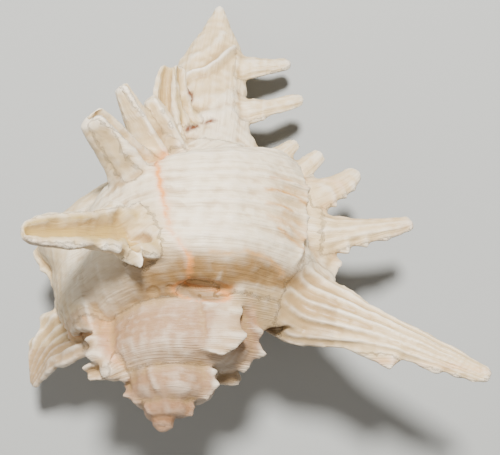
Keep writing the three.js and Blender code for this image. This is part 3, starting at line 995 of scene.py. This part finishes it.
def mouth(p, normals, angle, gap):
    """The smooth, polished parts: the inner lip and the inside of the mouth."""
    x, y, z = p.T
    inner_lip = unit((angle + 262) / 8) * unit((-176 - angle) / 16)
    inner_lip *= unit((2.5 - gap) / 2) * (y > 60) * (x < 40) * (z < 0)
    radial = p[:, [0, 2]] / np.hypot(p[:, 0], p[:, 2])[:, None]
    facing = (normals[:, [0, 2]] * radial).sum(1)
    inside = unit(-1.5 * facing - 0.2) * unit((-0.8 - gap) / 1.2)
    return np.maximum(inner_lip, inside * (y > 56))


def carve(p, normals):
    """The points again, moved along their normals by every kind of fine relief."""
    x, y, z = p.T
    angle, along, gap = place_on_coil(p)
    which, up, side, inside, belongs = place_on_fronds(p, normals)
    on_body = unit(1.6 - np.abs(gap) / 2.0) * (1 - unit(1.5 * up) * belongs)
    on_body *= 1 - unit((y - 115) / 6) * (z > -14) * (np.abs(x) < 26)
    on_body *= 1 - mouth(p, normals, angle, gap)
    for centre, radius, _ in BARE_SADDLES:
        far = np.linalg.norm(p - np.array(centre, float), axis=1)
        on_body *= unit((far / radius - 0.5) * 2.5)
    size = girth(angle) ** 0.7
    ramp = np.clip((along - 61) / 9, 0.08, 1)
    last = 0.45 + 0.55 * (angle > LAST_WHORL)
    lift = on_body * size * ramp * last * cords(along, angle)
    plain = (1.6 - 0.6 * last) * (0.3 + 0.7 * ramp)
    lift += on_body * size * growth_lines(along, angle) * plain
    lift += 0.35 * unevenness(p, 15, 1) + 0.16 * unevenness(p, 4.5, 2)
    lift += carve_canal(p, normals)
    on_frond = belongs * unit(up * 3)
    bend = 0.5 * np.sin(up * 9 + which)
    lift += on_frond * 0.24 * threads(side * 6 + bend + 20 * which + 40, 1.3, 18)
    for number, count, height, facing in RIDGES:
        ridge = (0.5 + 0.5 * np.cos(np.pi * (count * side + 0.35 * np.sin(7 * up)))) ** 2
        here = (which == number) * belongs * unit(facing * inside * 2)
        lift += here * height * (ridge - 0.4) * unit(up * 6 - 0.6) * (1.2 - up)
    for line, height, width in FOLDS:
        lift += unit((z - 32) / 5) * height * fold_shape(p, line, width, 5)
    for centre, spread, depth in POCKETS:
        lift -= depth * np.exp(-ball_distance(p, centre, spread) ** 4)
    return p + normals * lift[:, None]


def soften_cracks(mesh, rounds):
    """Lift only the points at the bottom of hair-thin cracks."""
    p = read_points(mesh)
    for _ in range(rounds):
        mean = neighbour_mean(mesh, p)
        sunk = ((mean - p) * read_normals(mesh)).sum(1)
        p = p + 0.8 * unit((sunk - 0.06) / 0.06)[:, None] * (mean - p)
        write_points(mesh, p)


write_points(shell.data, carve(points, read_normals(shell.data)))
soften_cracks(shell.data, 6)
print("carved")

# %% [markdown]
# ## Thin out, tilt and set down
# Flat places need few faces and edges need many, so a decimate modifier thins the mesh
# where it can. Then the shell is tilted, and worn flat where it touches the table.

# %% Finish the mesh
MOST_FACES = 190000

faces = sum(len(face.vertices) - 2 for face in shell.data.polygons)
apply_modifier(shell, "DECIMATE", ratio=min(1.0, MOST_FACES / faces),
               use_collapse_triangulate=True)
drawn = read_points(shell.data)
placed = to_table(drawn)
placed[:, 2] = np.maximum(placed[:, 2], 0)
low, high = np.array(packed_box[0]) / MM, np.array(packed_box[1]) / MM
write_points(shell.data, np.clip(placed, low, high) * MM)
select_only(shell)
bpy.ops.object.shade_smooth()
print("triangles:", len(shell.data.polygons))

# %% [markdown]
# ## Masks
# The colours of a shell follow its growth, so each is a mask worked out from the same
# places: peach along the old lips, straw inside the fronds, beige and painted shade on the
# ramp, rose and painted shade on the spire, rusty lines, brown dashes on the canal, dirt on
# the sutures, dust and painted shade in the creases, painted shade in the pockets, and a
# painted highlight on the crests.

# %% Paint the masks
def add_mask(mesh, name, values):
    mask = mesh.attributes.new(name, "FLOAT", "POINT")
    mask.data.foreach_set("value", unit(values).astype(np.float32))


def add_flow(mesh, values):
    flow = mesh.attributes.new("flow", "FLOAT_VECTOR", "POINT")
    flow.data.foreach_set("vector", values.astype(np.float32).ravel())


DEGREE = 0.9  # millimetres to a degree, about, on the last whorl

# Brown dashes on the canal: points (x, along), width. Rusty lines on the last whorl:
# points (angle, along), width, strength. Peach lines: varix number, strength.
DASHES = [([(-6.7, 142.3), (-6.2, 138.0)], 1.3), ([(-5.6, 121.8), (-2.0, 124.6)], 1.1),
          ([(1.0, 126.5), (5.0, 129.0)], 0.95)]
STAINS = [
    ([(34, 92), (44, 93.5), (52, 93.5), (62, 90)], 0.55, 1.0),
    ([(36, 98), (48, 99.5), (58, 98.5)], 0.6, 0.5), ([(46, 96), (60, 95)], 0.8, 0.4),
    ([(36, 86), (44, 87), (50, 86)], 0.8, 0.6), ([(38, 81), (50, 80), (60, 76)], 1.0, 0.55),
    ([(44, 77), (56, 74), (62, 71)], 0.7, 0.6), ([(46, 84), (56, 82), (62, 79)], 1.2, 0.35),
    ([(14, 63.5), (26, 63)], 0.6, 0.6), ([(30, 65), (44, 64), (58, 61)], 0.55, 0.6),
]
LIPS = [(2, 1.0), (3, 0.45), (4, 0.2), (5, 0.25), (0, 0.15)]


def paint_peach(p, angle, along, patches):
    """Thin peach lines along the old lips, and orange in the pockets beside them."""
    peach = np.zeros(len(p))
    for number, strength in LIPS:
        far = (angle - lip_line(VARICES[number], along) - 1.0) * girth(angle) * DEGREE
        fade = unit((along - 50) / 4) * unit((118 - along) / 6)
        line = soft(far + 0.3 * np.sin(along * 0.9), 0, 0.85) + 0.2 * soft(far, 0, 2.2)
        peach = np.maximum(peach, strength * line * fade * (0.55 + 0.6 * patches))
    for centre, spread, _ in POCKETS[:3]:
        far = ball_distance(p, centre, 1.5 * np.array(spread))
        peach = np.maximum(peach, 1.3 * np.exp(-far**3))
    far = ball_distance(p, *POCKETS[3][:2])
    peach = np.maximum(peach, 0.9 * soft(far, 1.12, 0.14))
    edge = soft(along, 53.0, 0.8) * unit((angle - 4) / 5) * unit((38 - angle) / 8)
    return np.maximum(peach, 0.8 * edge)


def paint_stains(angle, along, patches):
    """Rusty lines round the last whorl, broken up into patches."""
    stain = np.zeros(len(angle))
    around = np.stack([angle, along], 1) * [DEGREE, 1.0]
    for line, width, strength in STAINS:
        far, _ = near_line(around, np.array(line) * [DEGREE, 1.0])
        shade = 1.5 * strength * soft(far, 0, 1.3 * width) * (0.6 + 0.5 * patches)
        stain = np.maximum(stain, shade)
    return stain


def paint_dashes(p):
    """Short brown strokes on the upper side of the canal."""
    dash = np.zeros(len(p))
    for line, width in DASHES:
        far, _ = near_line(p[:, :2], line)
        dash = np.maximum(dash, np.exp(-(far / width) ** 4) * (p[:, 2] > 2))
    return dash


def paint_pit_shade(p):
    """Painted shade in the pockets that aren't orange inside."""
    pit = np.zeros(len(p))
    for centre, spread, depth in POCKETS[3:]:
        dark = np.exp(-ball_distance(p, centre, spread) ** 4) * min(1, 0.5 * depth)
        pit = np.maximum(pit, dark)
    return pit


def flow_lines(p, angle, along, gap, which, up, side):
    """Coordinates that follow the growth, for noise stretched along it."""
    on_coil_flow = np.stack([along, np.radians(angle) * 30, np.floor((angle + 242) / 360)], 1)
    on_frond_flow = np.stack([side * 6, up * 60, which + 10.0], 1)
    on_canal_flow = np.stack([p[:, 0], p[:, 1], 9 + 0 * angle], 1)
    flow = np.where((p[:, 1:2] > 118) & (gap[:, None] > -5), on_canal_flow, on_coil_flow)
    return np.where(((which >= 0) & (up > 0.2))[:, None], on_frond_flow, flow)


def paint(mesh, p, normals):
    x, y, z = p.T
    angle, along, gap = place_on_coil(p)
    which, up, side, inside, belongs = place_on_fronds(p, normals)
    last = angle > LAST_WHORL
    body = unit(1.8 - np.abs(gap) / 2.5)
    frond = np.maximum(belongs * unit(up * 3 - 0.3), unit((gap - 3) / 3))
    patches = 0.5 + 0.5 * unevenness(p, 9, 7)
    straw = np.isin(which, BACK_ROW) * unit(inside * 1.6 - 0.2) * unit(up * 6 - 0.6)
    straw = straw * np.where(which == BACK_ROW[0], 1.0, 0.45) * belongs
    # Beige tone and painted shade on the ramp, which faces away from the key light, and on part
    # of the flank.
    ramp = last * unit((67 - along + 1.8 * unevenness(p, 14, 8)) / 7) * body
    ramp = ramp * np.clip(1 + (x + 8) / 30, 0.4, 1)
    flank = unit((62 - y) / 12) * unit((y - 33) / 6) * unit((x - 20) / 5) * (x < 60) * (z > 0)
    ramp = np.maximum(ramp, 0.6 * flank)
    # Rose tone and painted shade on the spire whorls and near the apex.
    spire = np.where(last, 0, body) * unit(1.2 - 0.4 * np.abs(along - 80) / 20)
    spire = np.maximum(spire, 0.6 * ((y < 40) * (gap > 2) * (x < 30)))
    suture = soft(along, 51.2, 0.8) * body * (0.3 + 0.7 * patches) * (angle > -120)
    near, wide = sunkenness(mesh, p, normals, 2), sunkenness(mesh, p, normals, 14)
    # Painted highlight where the surface stands above its surroundings.
    crest_highlight = np.clip(-near / 0.3 - 0.1, 0, 0.4) + np.clip(-wide / 1.2 - 0.45, 0, 0.5)
    masks = {
        "peach": paint_peach(p, angle, along, patches),
        "straw": straw * (0.7 + 0.4 * patches),
        "ramp": ramp,
        "spire": spire,
        "stain": paint_stains(angle, along, patches) * body * last,
        "glow": 0.45 * soft(angle, 50, 15) * soft(along, 88, 13) * body * last,
        "dash": paint_dashes(p),
        # Dirt along the suture, and painted shade in the pockets.
        "dirt_and_pit_shade": np.maximum(0.8 * paint_pit_shade(p), 0.35 * suture),
        "frond": frond,
        # Painted shade, with some dust, where the surface lies below its surroundings.
        "crease": np.clip(near / 0.22 - 0.08, 0, 0.3) + np.clip(wide / 0.7 - 0.1, 0, 0.8),
        "crest_highlight": crest_highlight * (1 - 0.7 * ramp) * (1 - 0.5 * spire),
        "mouth": mouth(p, normals, angle, gap),
        "tip": 0.75 * unit((17 - y) / 14),
    }
    for name, values in masks.items():
        add_mask(mesh, name, values)
    add_flow(mesh, flow_lines(p, angle, along, gap, which, up, side))


paint(shell.data, drawn, read_normals(shell.data) @ TILT)
print("masks:", [a.name for a in shell.data.attributes if a.domain == "POINT"])

# %% [markdown]
# ## The material
# Bleached shell is chalky lime with a faint polish. Fine spiral lines and growth lines
# are too small for the mesh, so they are bump, from noise stretched along the growth.

# %% Node helpers
def node(tree, kind, label, **inputs):
    made = tree.nodes.new(kind)
    made.label = label
    for key, value in inputs.items():
        made.inputs[key.replace("_", " ")].default_value = value
    return made


def feed(tree, socket, value):
    """Link a socket to another one, or give it a constant."""
    if isinstance(value, bpy.types.NodeSocket):
        tree.links.new(value, socket)
    else:
        socket.default_value = value


def mix(tree, factor, below, above, label):
    """Mix two colours by a factor; each may be a colour or a socket."""
    made = tree.nodes.new("ShaderNodeMix")
    made.data_type = "RGBA"
    made.label = label
    for number, value in ((0, factor), (6, below), (7, above)):
        feed(tree, made.inputs[number], value)
    return made.outputs[2]


def attribute(tree, name, output="Fac"):
    made = tree.nodes.new("ShaderNodeAttribute")
    made.attribute_name = name
    return made.outputs[output]


def maths(tree, operation, first, second, clamp=False):
    made = tree.nodes.new("ShaderNodeMath")
    made.operation = operation
    made.use_clamp = clamp
    for socket, value in zip(made.inputs, (first, second)):
        feed(tree, socket, value)
    return made.outputs[0]


def stretched_noise(tree, vector, scale, detail, label):
    """Noise on a vector that has been scaled differently along each of its axes."""
    mapping = tree.nodes.new("ShaderNodeMapping")
    mapping.inputs["Scale"].default_value = scale
    tree.links.new(vector, mapping.inputs["Vector"])
    noise = node(tree, "ShaderNodeTexNoise", label, Scale=1.0, Detail=detail)
    tree.links.new(mapping.outputs[0], noise.inputs["Vector"])
    return noise.outputs["Fac"]


print("node helpers ready")

# %% [markdown]
# The colours lie over each other like coats of paint, from the white ground up. Each
# coat shows where its mask does. Stretched noise breaks some of them up into lines.

# %% Shell material
WHITE = (0.82, 0.69, 0.46, 1)
COOL = (0.77, 0.655, 0.50, 1)
CREAM = (0.69, 0.53, 0.30, 1)
# beige tone with painted shade, for the ramp
RAMP_BEIGE_AND_SHADE = (0.27, 0.155, 0.055, 1)
# rose tone with painted shade, for the spire
SPIRE_ROSE_AND_SHADE = (0.37, 0.215, 0.115, 1)
SHADE = (0.38, 0.24, 0.10, 1)
# painted highlight on the crests
CREST_HIGHLIGHT = (0.87, 0.78, 0.64, 1)
STRAW = (0.47, 0.32, 0.10, 1)
PEACH = (0.76, 0.28, 0.06, 1)
RUST = (0.58, 0.28, 0.06, 1)
GLOW = (0.78, 0.60, 0.34, 1)
# dirt on the sutures, and painted shade in the pockets
DIRT_AND_PIT_SHADE = (0.18, 0.10, 0.04, 1)
POLISH = (0.74, 0.50, 0.32, 1)
TIP = (0.34, 0.16, 0.07, 1)
BROWN = (0.13, 0.035, 0.008, 1)


def make_shell_material():
    material = bpy.data.materials.new("bleached_shell")
    material.use_nodes = True
    tree = material.node_tree
    shader = tree.nodes["Principled BSDF"]
    times, plus, minus = (partial(maths, tree, kind)
                          for kind in ("MULTIPLY", "ADD", "SUBTRACT"))
    mask = partial(attribute, tree)
    place = tree.nodes.new("ShaderNodeTexCoord").outputs["Object"]
    flow = attribute(tree, "flow", "Vector")
    cloud = stretched_noise(tree, place, (45, 45, 45), 4, "clouds")
    lines = stretched_noise(tree, flow, (1.1, 0.05, 1), 4, "cord lines")
    grain = stretched_noise(tree, place, (900, 900, 900), 2, "chalk grain")
    rings = stretched_noise(tree, flow, (0.05, 0.5, 1), 3, "growth lines")
    # Darker streaks along the cords: painted shade for cords too fine for the mesh.
    streaks = times(minus(lines, 0.52, True), 3.0, True)
    off_ramp = plus(minus(1.0, mask("ramp"), True), 0.2)
    inside = mask("mouth")
    coats = [
        (cloud, COOL, "clouds"),
        (mask("frond"), CREAM, "cream fronds"),
        (mask("ramp"), RAMP_BEIGE_AND_SHADE, "beige and painted shade on ramp"),
        (mask("spire"), SPIRE_ROSE_AND_SHADE, "rose tone and painted shade on spire"),
        (times(times(streaks, off_ramp, True), 0.55), SHADE, "painted shade along cords"),
        (mask("crest_highlight"), CREST_HIGHLIGHT, "painted highlight on crests"),
        (mask("tip"), TIP, "brown tip"),
        (times(mask("crease"), 0.8), SHADE, "dust and painted shade in creases"),
        (mask("glow"), GLOW, "yellow tinge"),
        (mask("straw"), STRAW, "straw"),
        (times(mask("peach"), plus(cloud, 0.45), True), PEACH, "peach lips"),
        (times(mask("stain"), plus(lines, 0.35), True), RUST, "stains"),
        (mask("dirt_and_pit_shade"), DIRT_AND_PIT_SHADE, "dirt_and_pit_shade"),
        (mask("dash"), BROWN, "dashes"),
        (times(inside, 0.8), POLISH, "polished mouth"),
    ]
    colour = WHITE
    for factor, coat, label in coats:
        colour = mix(tree, factor, colour, coat, label)
    tree.links.new(colour, shader.inputs["Base Color"])
    rough = minus(plus(times(cloud, 0.25), 0.36), times(inside, 0.2))
    tree.links.new(rough, shader.inputs["Roughness"])
    height = plus(plus(times(lines, 0.8), times(rings, 0.15)), times(grain, 0.12))
    bump = node(tree, "ShaderNodeBump", "fine relief", Strength=0.8, Distance=0.0008)
    tree.links.new(height, bump.inputs["Height"])
    tree.links.new(bump.outputs[0], shader.inputs["Normal"])
    return material


shell.data.materials.clear()
shell.data.materials.append(make_shell_material())
print("material:", shell.data.materials[0].name)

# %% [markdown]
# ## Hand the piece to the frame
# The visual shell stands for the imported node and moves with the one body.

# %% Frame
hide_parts("shell")
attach(shell, "root")
print("handed over:", shell.name)

# %% [markdown]
# ## Stage
# A pale floor, a dim pale sky, a small bright light high over the canal end, and a wide,
# weak one across from it. The camera looks straight down.

# %% Floor, light and camera
FLOOR_HEIGHT = -0.0002  # just clear of the points the shell rests on
SENSOR_WIDTH, FOCAL_LENGTH = 36, 70.43472  # millimetres
CAMERA_PLACE = (0.0019, -0.0125, 0.4456)


def make_floor():
    bpy.ops.mesh.primitive_plane_add(size=6, location=(0, 0, FLOOR_HEIGHT))
    floor = bpy.context.object
    floor.name = "floor"
    material = bpy.data.materials.new("pale_floor")
    material.use_nodes = True
    shader = material.node_tree.nodes["Principled BSDF"]
    shader.inputs["Base Color"].default_value = (0.36, 0.37, 0.36, 1)
    shader.inputs["Roughness"].default_value = 0.9
    floor.data.materials.append(material)


def make_light(name, place, target, size, power, colour):
    data = bpy.data.lights.new(name, "AREA")
    data.shape = "DISK"
    data.size = size
    data.energy = power
    data.color = colour
    light = bpy.data.objects.new(name, data)
    light.location = place
    light.rotation_euler = (Vector(target) - Vector(place)).to_track_quat("-Z", "Y").to_euler()
    bpy.context.collection.objects.link(light)


def make_sky(strength):
    world = bpy.data.worlds.new("studio")
    bpy.context.scene.world = world
    world.use_nodes = True
    background = world.node_tree.nodes["Background"]
    background.inputs["Color"].default_value = (1.0, 0.95, 0.90, 1)
    background.inputs["Strength"].default_value = strength


def make_camera():
    data = bpy.data.cameras.new("camera")
    data.sensor_width = SENSOR_WIDTH
    data.lens = FOCAL_LENGTH
    camera = bpy.data.objects.new("camera", data)
    camera.location = CAMERA_PLACE
    bpy.context.collection.objects.link(camera)
    bpy.context.scene.camera = camera


make_floor()
make_light("key", (0.02, 0.42, 0.95), (0, 0, 0.04), 0.16, 31, (1.0, 0.98, 0.95))
make_light("fill", (-0.7, -0.5, 0.8), (0, 0, 0.04), 0.9, 4, (1.0, 0.96, 0.92))
make_sky(0.25)
make_camera()
print("stage set")
